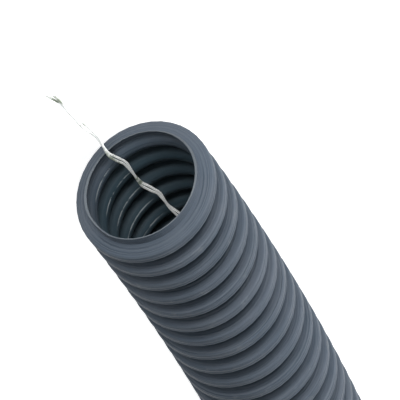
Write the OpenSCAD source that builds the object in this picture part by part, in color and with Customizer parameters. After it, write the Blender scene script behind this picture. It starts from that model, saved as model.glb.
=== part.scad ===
// Corrugated pliable conduit, one extruded length with its draw wire pulled in.
// The chord of the length runs along +Y, +Z is up, and it lies on Z = 0.
// The coil it was sold in leaves it a slight curve, which lies flat on the floor.

/* [Conduit] */
// Outside diameter over the ribs
outer_d = 63; // [61:0.5:65]
// Inside diameter through the lands between the ribs
bore_d = 49; // [48:0.2:50]
// Length along the centreline
cut_length = 1000; // [800:10:1200]
// Ribs in that length
ribs = 81; // [66:1:86]
// Thickness of the plastic
wall_t = 1.1; // [0.9:0.1:1.3]
// Width of a rib's crest
crest_w = 4.2; // [3.8:0.2:4.6]
// Width of a rib at its foot, on the land
foot_w = 7.8; // [7.4:0.2:8.2]
// Radius of the curve left by the coil, on the centreline
set_radius = 2000; // [1700:50:3000]

/* [Draw wire] */
// Diameter of the twisted pair
wire_d = 1.9; // [1.6:0.1:2]

/* [Hidden] */
$fn = 96;

outer_r = outer_d / 2;
bore_r = bore_d / 2;
land_r = bore_r + wall_t;
hollow_r = outer_r - wall_t;
// Both ends are sawn off beside a rib's foot, so each keeps one whole land
pitch = (cut_length + foot_w) / (ribs + 1);
function rib_at(k) = (k + 1) * pitch - foot_w / 2;
function land_at(k) = (k + 0.5) * pitch - foot_w / 2;
end_angle = cut_length / set_radius * 90 / PI;
// Places the box of the curved length evenly about the Y axis
centre_x = (set_radius + outer_r + (set_radius - outer_r) * cos(end_angle)) / 2;
// How far a land's tube runs on into the ribs beside it
lap = 0.8;
// Half the width of a rib, outside and inside, at a radius
flank_slope = (foot_w - crest_w) / 2 / (outer_r - land_r);
flank_t = wall_t * sqrt(pow(flank_slope, 2) + 1);
function rib_half(r) = crest_w / 2 + flank_slope * (outer_r - r);
function hollow_half(r) = rib_half(r) - flank_t;

// The wire's route: distance along the centreline, offset towards the inside of the curve, height
route = [[-50, 10.6, 4.3], [-45, 9.4, 4.5], [-38, 8.2, 4.9], [-32, 8.1, 5.3], [-26, 7.4, 5.8],
         [-20, 6.8, 6.4], [-14, 5.8, 7.1], [-9, 5, 7.7], [-4, 5.2, 8.4], [2, 5.5, 8.9],
         [5, 5.3, 8.9], [8, 4.5, 8.8], [12, 3.4, 8.5], [16, 2.4, 8.2], [22, 2.3, 8.2],
         [30, 2.3, 8.2], [35, 1.9, 8.2], [38, 1, 8.2], [42, -0.2, 8.2], [46, -1.4, 8.2],
         [52, -1.5, 8.2], [58, -1.7, 8.2], [66, -3, 8.3], [80, -5, 8.7], [105, -4.5, 8.6],
         [140, -1, 8.2], [190, 3, 8.4], [250, 5, 8.7], [310, 3, 8.4], [380, -2, 8.3],
         [450, -5, 8.7], [520, -4, 8.5], [590, 0, 8.2], [660, 4, 8.5], [730, 5, 8.7],
         [800, 2, 8.3], [900, -3, 8.4], [985, -1, 8.2], [1006, 0, 7.6], [1026, 1.5, 6]];
// Rings of the wire's tube between two points of its route
route_steps = 2;

function place(p) =
    let (a = p[0] / set_radius * 180 / PI - end_angle, r = set_radius - p[1])
    [centre_x - r * cos(a), r * sin(a), p[2]];
// The curve through four points, from the second to the third
function blend(a, b, c, d, t) =
    (2 * b + (c - a) * t + (2 * a - 5 * b + 4 * c - d) * t * t + (3 * b - a - 3 * c + d) * t * t * t) / 2;
function smooth(points, steps) =
    let (last = len(points) - 1)
    [for (i = [0 : last - 1])
         for (j = [0 : steps - 1])
             blend(points[max(i - 1, 0)], points[i], points[i + 1], points[min(i + 2, last)], j / steps),
     points[last]];
function unit(v) = v / norm(v);
function heading(line, i) = unit(line[min(i + 1, len(line) - 1)] - line[max(i - 1, 0)]);
function ring(line, i, r, sides) =
    let (t = heading(line, i), n = unit(cross(t, [0, 0, 1])), b = cross(n, t))
    [for (k = [0 : sides - 1]) line[i] + r * (cos(360 * k / sides) * n + sin(360 * k / sides) * b)];

// Sweeps a closed tube along a line of points
module tube(line, r, sides = 8) {
    rings = len(line);
    points = [for (i = [0 : rings - 1]) each ring(line, i, r, sides)];
    walls = [for (i = [0 : rings - 2], k = [0 : sides - 1])
                 let (a = i * sides + k, b = i * sides + (k + 1) % sides)
                 [a, b, b + sides, a + sides]];
    first = [for (k = [0 : sides - 1]) sides - 1 - k];
    last = [for (k = [0 : sides - 1]) (rings - 1) * sides + k];
    polyhedron(points, concat([first], walls, [last]));
}

// Puts a child, whose axis is Z, on the centreline at a distance along it
module along(s) {
    a = s / set_radius * 180 / PI - end_angle;
    translate([centre_x - set_radius * cos(a), set_radius * sin(a), outer_r])
        rotate([0, 0, -a])
            rotate([-90, 0, 0]) children();
}

// A disc with a flat rim and sloping sides, its middle on the origin
module disc(rim_r, rim_half, root_r, root_half) {
    rotate_extrude()
        polygon([[0, -root_half], [root_r, -root_half], [rim_r, -rim_half],
                 [rim_r, rim_half], [root_r, root_half], [0, root_half]]);
}

// Cuts everything off square beyond an end of the length
module saw_cut(s, side) {
    along(s) translate([-outer_d, -outer_d, side < 0 ? -pitch : 0]) cube([2 * outer_d, 2 * outer_d, pitch]);
}

module conduit() {
    root_r = bore_r + wall_t / 2;
    color([0.36, 0.38, 0.42])
        difference() {
            union() {
                for (k = [0 : ribs - 1])
                    along(rib_at(k)) disc(outer_r, crest_w / 2, root_r, rib_half(root_r));
                for (k = [0 : ribs])
                    along(land_at(k))
                        cylinder(r = land_r, h = pitch - foot_w + 2 * lap, center = true);
            }
            for (k = [0 : ribs - 1])
                along(rib_at(k))
                    disc(hollow_r, hollow_half(hollow_r), root_r, hollow_half(root_r));
            for (k = [0 : ribs])
                along(land_at(k))
                    cylinder(r = bore_r, h = pitch - 2 * hollow_half(bore_r) + 2 * lap, center = true);
            saw_cut(0, -1);
            saw_cut(cut_length, 1);
        }
}

module draw_wire() {
    color([0.86, 0.88, 0.84])
        tube([for (p = smooth(route, route_steps)) place(p)], wire_d / 2);
}

conduit();
draw_wire();
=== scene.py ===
import math

import bpy
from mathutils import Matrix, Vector


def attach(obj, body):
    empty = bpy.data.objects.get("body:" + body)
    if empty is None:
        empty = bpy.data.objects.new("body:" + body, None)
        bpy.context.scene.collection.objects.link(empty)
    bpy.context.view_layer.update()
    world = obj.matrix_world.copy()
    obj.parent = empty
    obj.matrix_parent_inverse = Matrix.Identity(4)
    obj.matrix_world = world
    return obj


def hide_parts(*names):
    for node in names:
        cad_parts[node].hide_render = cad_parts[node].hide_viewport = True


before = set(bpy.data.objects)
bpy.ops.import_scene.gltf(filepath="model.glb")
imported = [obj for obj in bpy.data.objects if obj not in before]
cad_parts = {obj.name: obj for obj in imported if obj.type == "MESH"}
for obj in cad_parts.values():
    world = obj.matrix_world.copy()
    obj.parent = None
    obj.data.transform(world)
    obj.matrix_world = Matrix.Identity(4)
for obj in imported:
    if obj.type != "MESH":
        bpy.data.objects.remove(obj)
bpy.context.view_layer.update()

# ---------------------------------------------------------------- camera
# A long lens looks along the length from high in front of end A, rolled nearly
# upside down, so that the length runs away down the picture from its open mouth.
lens = bpy.data.cameras.new("camera")
lens.sensor_width = 36
lens.lens = 614.5
lens.clip_start = 0.1
lens.clip_end = 40
camera = bpy.data.objects.new("camera", lens)
camera.location = (0.39097, -2.69457, 1.63330)
camera.rotation_euler = [math.radians(turn) for turn in (-50.805, -23.812, 171.514)]
bpy.context.scene.collection.objects.link(camera)
bpy.context.scene.camera = camera

# ------------------------------------------------------------- draw wire
# The puller: two strands of bright galvanised steel wire, twisted loosely together by hand.
# It lies along the bottom of the bore, bridging rib to rib, and comes out past both sawn
# ends, where the strands are snipped off and spring apart a little.
outer_r = 0.0315
set_radius = 2.0
cut_length = 1.0
end_turn = cut_length / set_radius / 2
centre_x = (set_radius + outer_r + (set_radius - outer_r) * math.cos(end_turn)) / 2


def on_length(along, side, height):
    """A point by its distance along the curved centreline, its offset to the inside and its height."""
    turn = along / set_radius - end_turn
    reach = set_radius - side
    return Vector((centre_x - reach * math.cos(turn), reach * math.sin(turn), height))


wire_route = [
    (-0.050, 0.0106, 0.0043), (-0.045, 0.0094, 0.0045), (-0.038, 0.0082, 0.0049), (-0.032, 0.0081, 0.0053),
    (-0.026, 0.0074, 0.0058), (-0.020, 0.0068, 0.0064), (-0.014, 0.0058, 0.0071), (-0.009, 0.0050, 0.0077),
    (-0.004, 0.0052, 0.0084), (0.002, 0.0055, 0.0089), (0.005, 0.0053, 0.0089), (0.008, 0.0045, 0.0088),
    (0.012, 0.0034, 0.0085), (0.016, 0.0024, 0.0082), (0.022, 0.0023, 0.0082), (0.030, 0.0023, 0.0082),
    (0.035, 0.0019, 0.0082), (0.038, 0.0010, 0.0082), (0.042, -0.0002, 0.0082), (0.046, -0.0014, 0.0082),
    (0.052, -0.0015, 0.0082), (0.058, -0.0017, 0.0082), (0.066, -0.0030, 0.0083), (0.080, -0.0050, 0.0087),
    (0.105, -0.0045, 0.0086), (0.140, -0.0010, 0.0082), (0.190, 0.0030, 0.0084), (0.250, 0.0050, 0.0087),
    (0.310, 0.0030, 0.0084), (0.380, -0.0020, 0.0083), (0.450, -0.0050, 0.0087), (0.520, -0.0040, 0.0085),
    (0.590, 0.0000, 0.0082), (0.660, 0.0040, 0.0085), (0.730, 0.0050, 0.0087), (0.800, 0.0020, 0.0083),
    (0.900, -0.0030, 0.0084), (0.985, -0.0010, 0.0082), (1.006, 0.0000, 0.0076), (1.026, 0.0015, 0.0060),
]
wire_step = 0.0012
strand_r = 0.0005
half_lay = 0.0286
lay_start = 0.0125
lay_slack = 1.22
lay_swing = 0.22
tip_spring = 0.35
tip_length = 0.012
tip_snip = 0.3


def blend(a, b, c, d, t):
    """The curve through four points, from the second to the third."""
    return (2 * b + (c - a) * t + (2 * a - 5 * b + 4 * c - d) * t * t
            + (3 * b - a - 3 * c + d) * t * t * t) / 2


def smooth(points, step):
    """A smooth line through the points, with about a step between its own."""
    last = len(points) - 1
    line = []
    for i in range(last):
        around = [points[max(i - 1, 0)], points[i], points[i + 1], points[min(i + 2, last)]]
        parts = max(1, round((points[i + 1] - points[i]).length / step))
        line += [blend(*around, j / parts) for j in range(parts)]
    return line + [points[last]]


wire_along = smooth([Vector(p) for p in wire_route], wire_step)
wire_line = [on_length(*p) for p in wire_along]


def strand(side):
    """One strand's own line: it winds round the pair's, and springs away from it at both tips."""
    line = []
    for i, centre in enumerate(wire_line):
        ahead = (wire_line[min(i + 1, len(wire_line) - 1)] - wire_line[max(i - 1, 0)]).normalized()
        across = ahead.cross(Vector((0, 0, 1))).normalized()
        along = wire_along[i].x
        turn = math.pi * (along - lay_start) / half_lay
        slack = lay_slack + lay_swing * math.cos(2 * turn)
        to_tip = min(along - wire_along[0].x, wire_along[-1].x - along)
        spring = tip_spring * max(0.0, 1 - to_tip / tip_length)
        off = side * strand_r * (slack + spring)
        line.append(centre + off * (math.cos(turn) * across + math.sin(turn) * ahead.cross(across)))
    # Snipped a little short, which keeps the sprung tips within the pair's own length
    line[0] = line[0].lerp(line[1], tip_snip)
    line[-1] = line[-1].lerp(line[-2], tip_snip)
    return line


def swept(name, lines, radius, sides):
    """Plain round tubes along lines, as one mesh with closed ends."""
    curve = bpy.data.curves.new(name, "CURVE")
    curve.dimensions = "3D"
    curve.bevel_depth = radius
    curve.bevel_resolution = sides // 4
    curve.use_fill_caps = True
    for line in lines:
        spline = curve.splines.new("POLY")
        spline.points.add(len(line) - 1)
        for point, place in zip(spline.points, line):
            point.co = (*place, 1)
    shape = bpy.data.objects.new(name + "_lines", curve)
    made = bpy.data.objects.new(name, bpy.data.meshes.new_from_object(shape))
    bpy.data.objects.remove(shape)
    bpy.data.curves.remove(curve)
    bpy.context.scene.collection.objects.link(made)
    return made


wire = swept("draw_wire_pair", [strand(1), strand(-1)], strand_r, 8)
for face in wire.data.polygons:
    face.use_smooth = True


class Reading:
    """An output socket of a node tree, which Python's own operators work on."""

    def __init__(self, socket):
        self.socket = socket

    def node(self, kind, settings=None, inputs=None, output=0):
        """Adds any node to this socket's tree: its settings first, then its inputs."""
        return added(self.socket.id_data, kind, settings, inputs, output)

    def maths(self, operation, *others):
        """One Math node, with this as its first value."""
        return self.node("ShaderNodeMath", {"operation": operation},
                         dict(enumerate([self, *others])))

    def after(self, operation, first):
        """One Math node, with this as its second value."""
        return self.node("ShaderNodeMath", {"operation": operation}, {0: first, 1: self})

    def __add__(self, other):
        return self.maths("ADD", other)

    def __radd__(self, other):
        return self.after("ADD", other)

    def __sub__(self, other):
        return self.maths("SUBTRACT", other)

    def __rsub__(self, other):
        return self.after("SUBTRACT", other)

    def __mul__(self, other):
        return self.maths("MULTIPLY", other)

    def __rmul__(self, other):
        return self.after("MULTIPLY", other)

    def __truediv__(self, other):
        return self.maths("DIVIDE", other)

    def __mod__(self, other):
        return self.maths("FLOORED_MODULO", other)

    def __gt__(self, other):
        return self.maths("GREATER_THAN", other)

    def __lt__(self, other):
        return self.maths("LESS_THAN", other)

    def floor(self):
        return self.maths("FLOOR")

    def size(self):
        return self.maths("ABSOLUTE")

    def at_least(self, other):
        return self.maths("MAXIMUM", other)

    def at_most(self, other):
        return self.maths("MINIMUM", other)

    def sin(self):
        return self.maths("SINE")

    def cos(self):
        return self.maths("COSINE")

    def between(self, low, high, start=0.0, end=1.0):
        """Runs smoothly from start to end while this goes from low to high."""
        return self.node("ShaderNodeMapRange", {"interpolation_type": "SMOOTHSTEP"},
                         {0: self, 1: low, 2: high, 3: start, 4: end})

    def tint(self, plain, full):
        """A colour that goes from plain to full as this goes from 0 to 1."""
        return self.node("ShaderNodeMix", {"data_type": "RGBA"}, {0: self, 6: plain, 7: full}, 2)


def added(tree, kind, settings=None, inputs=None, output=0):
    """Adds a node to a tree and gives the reading of one of its outputs, where it has any."""
    node = tree.nodes.new(kind)
    for name, value in (settings or {}).items():
        setattr(node, name, value)
    for name, value in (inputs or {}).items():
        if isinstance(value, Reading):
            tree.links.new(value.socket, node.inputs[name])
        else:
            node.inputs[name].default_value = value
    return Reading(node.outputs[output]) if len(node.outputs) else None


def material(name):
    """A new material with only its output, and its node tree."""
    made = bpy.data.materials.new(name)
    made.use_nodes = True
    made.node_tree.nodes.clear()
    return made, made.node_tree


def finished(tree, shader):
    """Joins a material's shader to its output."""
    added(tree, "ShaderNodeOutputMaterial", None, {"Surface": shader})


# Zinc drawn smooth, a little spangled, with darker green-grey patches at random. Its
# brightness is part shine and part a painted glow, a faint emission in the zinc's own colour.
steel, steel_tree = material("galvanised_steel")
steel_place = added(steel_tree, "ShaderNodeTexCoord", None, None, "Object")
spangle = steel_place.node("ShaderNodeTexNoise", None,
                           {"Vector": steel_place, "Scale": 900, "Detail": 3, "Roughness": 0.6}, "Fac")
dark_patch_noise = steel_place.node("ShaderNodeTexNoise", None,
                          {"Vector": steel_place, "Scale": 70, "Detail": 4, "Roughness": 0.65}, "Fac")
dark_patches = dark_patch_noise.between(0.52, 0.64)
zinc = spangle.between(0.3, 0.7).tint((0.94, 0.96, 0.94, 1), (0.98, 0.99, 0.98, 1))
zinc = (dark_patches * 0.85).tint(zinc, (0.12, 0.16, 0.09, 1))
steel_bump = spangle.node("ShaderNodeBump", None,
                          {"Height": spangle, "Strength": 0.25, "Distance": 0.00008}, "Normal")
finished(steel_tree, steel_bump.node("ShaderNodeBsdfPrincipled", None, {
    "Base Color": zinc,
    "Metallic": 0.05,
    "Specular IOR Level": 1.0,
    # Painted glow: the wire gives off a faint light in its own colour, which stands in for its glints.
    "Emission Color": zinc,
    "Emission Strength": 0.18,
    "Roughness": spangle.between(0.2, 0.8, 0.30, 0.44) + dark_patches * 0.12,
    "Normal": steel_bump}))
wire.data.materials.append(steel)

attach(wire, "root")
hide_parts("draw_wire")
on_length(cut_length, -0.0008, 0.008)

# --------------------------------------------------------------- conduit
# One wall of slate-grey plastic, extruded and sucked into moulds that form its ribs.
# It was coiled when warm, which left it curved and pressed it slightly oval, and both
# ends are sawn off by hand through the land in front of a rib, a few degrees off square.
bore_r = 0.0245
land_crown = 0.0003
wall = 0.0011
crest_w = 0.0042
foot_w = 0.0078
ribs = 81
pitch = (cut_length + foot_w) / (ribs + 1)
press = 0.03
press_turn = math.radians(67)
shell_r = outer_r / (1 + press)
lift = 0.00017
facets = 42

# The saw's mean depth into an end, its lean to the side and upwards, and how roughly it
# cuts. A nick is where it has pressed the stub in at end A.
saw_seed = 3.7
saw_depth = 0.0019
saw_lean_side = 0.0009
saw_lean_up = 0.0025
saw_wobble = 0.0009
saw_tear = 0.0005
saw_limit = 0.0044
far_saw_turn = 2.4
nick_depth = 0.0005
nick_length = 0.006
nick_turn = math.radians(14)
nick_half = math.radians(20)

# Stations across a rib: share of its half crest, share of its flank, share of its height.
outside = [
    (-1, -1.00, 0.00), (-1, -0.93, 0.06), (-1, -0.16, 0.86),
    (-0.97, 0, 0.965), (-0.84, 0, 1.00), (-0.70, 0, 1.00), (-0.55, 0, 0.95), (-0.40, 0, 1.00),
    (0.26, 0, 1.00), (0.41, 0, 0.95), (0.56, 0, 1.00), (0.84, 0, 1.00), (0.97, 0, 0.965),
    (1, 0.16, 0.86), (1, 0.93, 0.06), (1, 1.00, 0.00),
]
inside = [
    (-1, -2.247, 0.00), (-1, -1.70, 0.00), (-1, -1.10, 0.00), (-1, -0.72, 0.00), (-1, -0.45, 0.10),
    (-0.66, 0.00, 0.93), (-0.50, 0.00, 1.00),
    (0.50, 0.00, 1.00), (0.66, 0.00, 0.93),
    (1, 0.45, 0.10), (1, 0.72, 0.00), (1, 1.10, 0.00), (1, 1.70, 0.00),
]
land_half = 0.00275
land_belly = 0.0011
hollow_rise = 0.0042

tree = bpy.data.node_groups.new("corrugated_tube", "GeometryNodeTree")
tree.interface.new_socket("Geometry", in_out="OUTPUT", socket_type="NodeSocketGeometry")
sizes = {
    "Ribs": (ribs, "NodeSocketInt"),
    "Facets": (facets, "NodeSocketInt"),
    "Pitch": (pitch, "NodeSocketFloat"),
    "Crest width": (crest_w, "NodeSocketFloat"),
    "Foot width": (foot_w, "NodeSocketFloat"),
    "Wall": (wall, "NodeSocketFloat"),
    "Crest radius": (shell_r, "NodeSocketFloat"),
    "Bore radius": (bore_r - land_crown, "NodeSocketFloat"),
    "Land belly": (land_belly, "NodeSocketFloat"),
    "Land half": (land_half, "NodeSocketFloat"),
    "Hollow rise": (hollow_rise, "NodeSocketFloat"),
    "Length": (cut_length, "NodeSocketFloat"),
    "Set radius": (set_radius, "NodeSocketFloat"),
    "Press": (press, "NodeSocketFloat"),
    "Press turn": (press_turn, "NodeSocketFloat"),
    "Saw seed": (saw_seed, "NodeSocketFloat"),
    "Saw depth": (saw_depth, "NodeSocketFloat"),
    "Saw lean side": (saw_lean_side, "NodeSocketFloat"),
    "Saw lean up": (saw_lean_up, "NodeSocketFloat"),
    "Saw wobble": (saw_wobble, "NodeSocketFloat"),
    "Saw tear": (saw_tear, "NodeSocketFloat"),
    "Saw limit": (saw_limit, "NodeSocketFloat"),
    "Far saw turn": (far_saw_turn, "NodeSocketFloat"),
    "Nick depth": (nick_depth, "NodeSocketFloat"),
    "Nick length": (nick_length, "NodeSocketFloat"),
    "Nick turn": (nick_turn, "NodeSocketFloat"),
    "Nick half": (nick_half, "NodeSocketFloat"),
}
sockets = {name: tree.interface.new_socket(name, in_out="INPUT", socket_type=kind)
           for name, (_, kind) in sizes.items()}
sockets["Plastic"] = tree.interface.new_socket("Plastic", in_out="INPUT",
                                               socket_type="NodeSocketMaterial")
group_in = tree.nodes.new("NodeGroupInput")
given = {name: Reading(group_in.outputs[name]) for name in sockets}
index = added(tree, "GeometryNodeInputIndex")
# Keeps a whole number from rounding down to the one before
sliver = 0.0001


def bent(geometry, along, radius, around):
    """Sets a grid's points by distance along, radius and angle, pressed oval and bent."""
    pressed = radius + given["Crest radius"] * given["Press"] * (
        2 * (around - given["Press turn"])).cos() * (radius / given["Crest radius"])
    turn = (along - given["Length"] / 2) / given["Set radius"]
    reach = given["Set radius"] - pressed * around.cos()
    place = along.node("ShaderNodeCombineXYZ", None, {
        "X": centre_x - reach * turn.cos(),
        "Y": reach * turn.sin(),
        "Z": pressed * around.sin() + (outer_r - lift)})
    return along.node("GeometryNodeSetPosition", None, {"Geometry": geometry, "Position": place})


def rows_of(count):
    """A grid of rows along the length by facets round it: the grid, the row and the angle."""
    grid = index.node("GeometryNodeMeshGrid", None, {
        "Vertices X": given["Facets"] + 1, "Vertices Y": count}, "Mesh")
    row = index % count
    around = (index / count + sliver).floor() / given["Facets"] * math.tau
    return grid, row, around


def sawn_at(around):
    """How far in the saw has cut, all round end A. End B is the same, turned."""
    spot = around.node("ShaderNodeCombineXYZ", None, {
        "X": around.cos() * 2.2, "Y": around.sin() * 2.2, "Z": given["Saw seed"]})
    tear = spot.node("ShaderNodeTexNoise", None,
                     {"Vector": spot, "Scale": 7.5, "Detail": 2, "Roughness": 0.6}, "Fac")
    wobble = spot.node("ShaderNodeTexNoise", None,
                       {"Vector": spot, "Scale": 1.6, "Detail": 3, "Roughness": 0.6}, "Fac")
    lean = given["Saw lean side"] * around.cos()
    askew = given["Saw depth"] - lean - given["Saw lean up"] * around.sin()
    rough = askew + (wobble - 0.5) * given["Saw wobble"] + (tear - 0.5) * given["Saw tear"]
    return rough.at_least(0.0).at_most(given["Saw limit"])


def far_cut(around):
    """The distance along at which end B is sawn, all round it."""
    return given["Length"] - sawn_at(around + given["Far saw turn"])


def nicked(radius, along, around):
    """A radius near end A, where the saw has pressed one side of the stub in."""
    off = (around - given["Nick turn"]).sin() / given["Nick half"]
    dip = (1 - off * off).at_least(0.0) * (around.cos() > 0)
    return radius - given["Nick depth"] * dip * (1 - along / given["Nick length"]).at_least(0.0)


def off_land(along):
    """The distance along from the middle of the nearest land, negative towards end A."""
    first_land = (given["Pitch"] - given["Foot width"]) / 2
    return (along - first_land + given["Pitch"] / 2) % given["Pitch"] - given["Pitch"] / 2


def belly(along):
    """How far the rounded lands have curved away from the bore at a distance along."""
    share = (off_land(along).size() / given["Land half"]).at_most(1.0)
    return given["Land belly"] * share * share


def skin(stations, rest_r, rise, rounded):
    """One skin of the wall: a grid with a row at each station of each rib, and one at each end."""
    per_rib = len(stations)
    count = given["Ribs"] * per_rib + 2
    grid, row, around = rows_of(count)
    step = row - 1
    rib = (step / per_rib + sliver).floor()
    share = index.node("GeometryNodeIndexSwitch", {"data_type": "VECTOR"})
    switch = share.socket.node
    while len(switch.index_switch_items) < per_rib:
        switch.index_switch_items.new()
    for slot, station in enumerate(stations):
        switch.inputs[slot + 1].default_value = station
    tree.links.new((step % per_rib).socket, switch.inputs[0])
    parts = share.node("ShaderNodeSeparateXYZ", None, {0: share}).socket.node
    crest, flank, height = (Reading(part) for part in parts.outputs)
    along = ((rib + 1) * given["Pitch"] - given["Foot width"] / 2
             + crest * given["Crest width"] / 2
             + flank * (given["Foot width"] - given["Crest width"]) / 2)
    far_end = row > count - 1.5
    along = along * (1 - far_end) + given["Length"] * far_end
    along = (along * (row > 0.5)).at_least(sawn_at(around))
    along = along.at_most(far_cut(around))
    radius = rest_r + rise * height * (row > 0.5) * (1 - far_end)
    if rounded:
        radius = radius + belly(along)
    return bent(grid, along, nicked(radius, along, around), around), along, radius, around


land_r = given["Bore radius"] + given["Wall"]
rise = given["Crest radius"] - land_r
outer_skin, outer_along, outer_radius, _ = skin(outside, land_r, rise, False)
inner_skin, inner_along, inner_radius, inner_around = skin(
    inside, given["Bore radius"], given["Hollow rise"], True)
inner_skin = inner_skin.node("GeometryNodeFlipFaces", None, {"Mesh": inner_skin})


def rim(far):
    """The sawn face of the wall at one end."""
    grid, row, around = rows_of(2)
    along = far_cut(around) if far else sawn_at(around)
    inner_r = given["Bore radius"] + belly(along)
    share = row if far else 1 - row
    radius = land_r * (1 - share) + inner_r * share
    return bent(grid, along, nicked(radius, along, around), around)


def marked(geometry, name, value, domain="POINT"):
    """Stores a value on the mesh, for the plastic to read."""
    return geometry.node("GeometryNodeStoreNamedAttribute",
                         {"data_type": "FLOAT", "domain": domain},
                         {"Geometry": geometry, "Name": name, "Value": value})


mouth_reach = 0.030
wire_side = math.radians(-58)
outer_skin = marked(outer_skin, "outline", outer_along + outer_radius)
height_share = (outer_radius - land_r) / rise
end_rib = given["Pitch"] - given["Foot width"] / 2
behind_end_ribs = (outer_along > end_rib) * (outer_along < given["Length"] - end_rib)
outer_skin = marked(outer_skin, "height", height_share)
# This mask sets a painted shade: the plastic darkens low in each valley behind the end ribs.
outer_skin = marked(outer_skin, "valley_shade", (1 - height_share) * behind_end_ribs)
inner_skin = marked(inner_skin, "outline", inner_along + inner_radius)
inner_skin = marked(inner_skin, "off land", off_land(inner_along))
inner_skin = marked(inner_skin, "beside wire", (inner_around - wire_side).cos())
# How far into the bore from the nearer mouth. It sets the bore's painted shade and where swarf lies.
to_mouth = inner_along.at_most(given["Length"] - inner_along)
inner_skin = marked(inner_skin, "depth", (to_mouth / mouth_reach).at_most(1.0))
rim_a = marked(rim(False), "sawn", 1.0, "FACE")
rim_b = marked(rim(True), "sawn", 1.0, "FACE")
joined = index.node("GeometryNodeJoinGeometry")
for part in (outer_skin, inner_skin, rim_a, rim_b):
    tree.links.new(part.socket, joined.socket.node.inputs[0])
merge_gap = 0.00001
sharp_turn = math.radians(50)
closed = joined.node("GeometryNodeMergeByDistance", None, {"Geometry": joined, "Distance": merge_gap})
closed = closed.node("GeometryNodeSetShadeSmooth", {"domain": "FACE"}, {"Geometry": closed})
edge_angle = closed.node("GeometryNodeInputMeshEdgeAngle")
closed = closed.node("GeometryNodeSetShadeSmooth", {"domain": "EDGE"}, {
    "Geometry": closed, "Selection": edge_angle > sharp_turn, "Shade Smooth": False})
closed = closed.node("GeometryNodeRealizeInstances", None, {"Geometry": closed})
closed = closed.node("GeometryNodeSetMaterial", None, {"Geometry": closed, "Material": given["Plastic"]})
group_out = tree.nodes.new("NodeGroupOutput")
tree.links.new(closed.socket, group_out.inputs[0])

# Satin plastic, faintly mottled, with fine rings from the moulds, whose pale and dark lines are partly
# painted highlight and shade, and pale scuffs along the crests. Painted shade darkens the valleys and the
# deep bore; the sawn faces are paler and rougher. Painted highlights lie beside the wire on the lands, and
# a little swarf lies in the mouths.
plastic, plastic_tree = material("slate_plastic")
place = added(plastic_tree, "ShaderNodeTexCoord", None, None, "Object")


def stored(name):
    """A value that the mesh carries."""
    return place.node("ShaderNodeAttribute", {"attribute_name": name}, None, "Fac")


outline = stored("outline")
height = stored("height")
valley_shade = stored("valley_shade")
depth = stored("depth")
off_middle = stored("off land")
beside_wire = stored("beside wire")
sawn = stored("sawn")
mottle = place.node("ShaderNodeTexNoise", None,
                    {"Vector": place, "Scale": 38, "Detail": 4, "Roughness": 0.55}, "Fac")
grain = place.node("ShaderNodeTexNoise", None,
                   {"Vector": place, "Scale": 1900, "Detail": 2, "Roughness": 0.5}, "Fac")
rings = place.node("ShaderNodeTexNoise", {"noise_dimensions": "1D"},
                   {"W": outline, "Scale": 1050, "Detail": 3, "Roughness": 0.6}, "Fac")
scuff_patch = place.node("ShaderNodeTexNoise", None,
                         {"Vector": place, "Scale": 120, "Detail": 5, "Roughness": 0.7}, "Fac")
scuffed = scuff_patch.between(0.56, 0.70) * height.between(0.90, 1.0) * 0.35
colour = mottle.between(0.3, 0.7).tint((0.064, 0.082, 0.107, 1), (0.083, 0.099, 0.124, 1))
ring_shade_patches = place.node("ShaderNodeTexNoise", None,
                   {"Vector": place, "Scale": 55, "Detail": 2, "Roughness": 0.5}, "Fac").between(0.38, 0.62)
# The mould rings' pale and dark lines are partly their own tone and partly painted highlight and painted
# shade; the dark lines come in patches.
colour = (rings.between(0.52, 0.64) * 0.45).tint(colour, (0.112, 0.128, 0.148, 1))
colour = (rings.between(0.36, 0.44, 1.0, 0.0) * ring_shade_patches * 0.55).tint(colour, (0.028, 0.040, 0.055, 1))
colour = scuffed.tint(colour, (0.185, 0.200, 0.215, 1))
colour = (sawn * 0.75).tint(colour, (0.17, 0.19, 0.21, 1))
# Painted shade: the plastic darkens to near black low in the valleys between the ribs.
colour = (valley_shade.between(0.58, 0.88) * 0.74).tint(colour, (0.006, 0.014, 0.020, 1))
# Painted shade: the bore darkens to a teal grey deeper in from each mouth.
colour = (depth.between(0.20, 0.85) * 0.62).tint(colour, (0.022, 0.050, 0.062, 1))
# Painted highlights: pale streaks on the lands beside the wire, just in front of each land's middle.
glint_offset = 0.0015
land_glint = (off_middle + glint_offset).size().between(0.00010, 0.00038, 1.0, 0.0)
land_glint = land_glint * beside_wire.between(0.86, 0.985) * scuff_patch.between(0.38, 0.54)
colour = (land_glint * 0.75).tint(colour, (0.42, 0.46, 0.48, 1))
swarf = grain.between(0.56, 0.66) * depth.between(0.02, 0.34, 1.0, 0.0) * beside_wire.between(0.25, 0.60)
colour = (swarf * 0.55).tint(colour, (0.34, 0.38, 0.41, 1))
relief = rings + grain * 0.12 + sawn * grain * 2
plastic_bump = relief.node("ShaderNodeBump", None,
                           {"Height": relief, "Strength": 1.0, "Distance": 0.00025}, "Normal")
roughness = 0.48 + (mottle - 0.5) * 0.10 + (rings - 0.5) * 0.10 + scuffed * 0.3 + sawn * 0.3
finished(plastic_tree, relief.node("ShaderNodeBsdfPrincipled", None, {
    "Base Color": colour,
    "Roughness": roughness,
    "Normal": plastic_bump,
    "Specular IOR Level": 0.12}))

conduit = bpy.data.objects.new("conduit_wall", bpy.data.meshes.new("conduit_wall"))
bpy.context.scene.collection.objects.link(conduit)
modifier = conduit.modifiers.new("corrugated_tube", "NODES")
modifier.node_group = tree
for name, (value, _) in sizes.items():
    modifier[sockets[name].identifier] = value
modifier[sockets["Plastic"].identifier] = plastic
made = conduit.evaluated_get(bpy.context.evaluated_depsgraph_get())
mesh = bpy.data.meshes.new_from_object(made)
conduit.modifiers.remove(modifier)
conduit.data = mesh
mesh.materials.pop(index=0)

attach(conduit, "root")
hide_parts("conduit")

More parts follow.
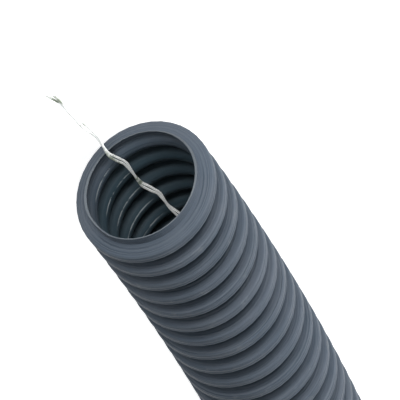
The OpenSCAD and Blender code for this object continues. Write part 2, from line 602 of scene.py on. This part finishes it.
# ----------------------------------------------------------- floor, light
# A plain pale floor of matt card. It reads as white to the camera and in reflections,
# and keeps the soft shadow under the conduit.
floor_half = 12.0
floor_mesh = bpy.data.meshes.new("floor")
floor_mesh.from_pydata(
    [(x * floor_half, y * floor_half, 0) for x, y in ((-1, -1), (1, -1), (1, 1), (-1, 1))],
    [], [(0, 1, 2, 3)])
floor = bpy.data.objects.new("floor", floor_mesh)
bpy.context.scene.collection.objects.link(floor)


def seen_white(tree):
    """1 for rays from the camera, reflections and rays through something clear, and 0 for others."""
    camera_ray = added(tree, "ShaderNodeLightPath", None, None, "Is Camera Ray")
    rays = camera_ray.socket.node.outputs
    any_ray = camera_ray + Reading(rays["Is Glossy Ray"]) + Reading(rays["Is Transmission Ray"])
    return any_ray.at_most(1.0)


card, card_tree = material("pale_card")
seen = seen_white(card_tree)
matt = seen.node("ShaderNodeBsdfDiffuse", None, {"Color": (0.82, 0.82, 0.82, 1)})
glow = seen.node("ShaderNodeEmission", None, {"Color": (1, 1, 1, 1), "Strength": 0.80})
lit = seen.node("ShaderNodeAddShader", None, {0: matt, 1: glow})
finished(card_tree, seen.node("ShaderNodeMixShader", None, {0: seen, 1: matt, 2: lit}))
floor_mesh.materials.append(card)

world = bpy.data.worlds.new("studio")
world.use_nodes = True
world.node_tree.nodes.clear()
open_sky = seen_white(world.node_tree)
ambient = open_sky.node("ShaderNodeBackground", None, {"Color": (0.55, 0.92, 1, 1), "Strength": 0.05})
backdrop = open_sky.node("ShaderNodeBackground", None, {"Color": (1, 1, 1, 1), "Strength": 1.0})
room = open_sky.node("ShaderNodeMixShader", None, {0: open_sky, 1: ambient, 2: backdrop})
added(world.node_tree, "ShaderNodeOutputWorld", None, {"Surface": room})
bpy.context.scene.world = world

# At a strength of 1, a lamp lights a white card that faces it at the mouth to full white.
lamp_reach = 2.4
lit_place = on_length(0.05, 0, outer_r)


def softbox(name, turn, rise, wide, tall, strength):
    """A lamp facing the mouth: turned from the front of end A towards +X, raised from the floor."""
    turn, rise = math.radians(turn), math.radians(rise)
    way = Vector((math.sin(turn) * math.cos(rise), -math.cos(turn) * math.cos(rise), math.sin(rise)))
    lamp = bpy.data.lights.new(name, "AREA")
    lamp.shape = "RECTANGLE"
    lamp.size = wide
    lamp.size_y = tall
    lamp.energy = strength * (math.pi * lamp_reach) ** 2
    made = bpy.data.objects.new(name, lamp)
    made.location = lit_place + way * lamp_reach
    made.rotation_euler = (-way).to_track_quat("-Z", "Y").to_euler()
    made.visible_camera = False
    bpy.context.scene.collection.objects.link(made)


softbox("front", 5, 12, 1.8, 0.8, 0.95)
softbox("side", -80, 20, 0.9, 0.75, 1.0)
softbox("top", 0, 72, 0.75, 0.75, 0.30)
softbox("back", 180, 30, 0.75, 0.75, 0.12)

bpy.context.scene.view_settings.view_transform = "Standard"
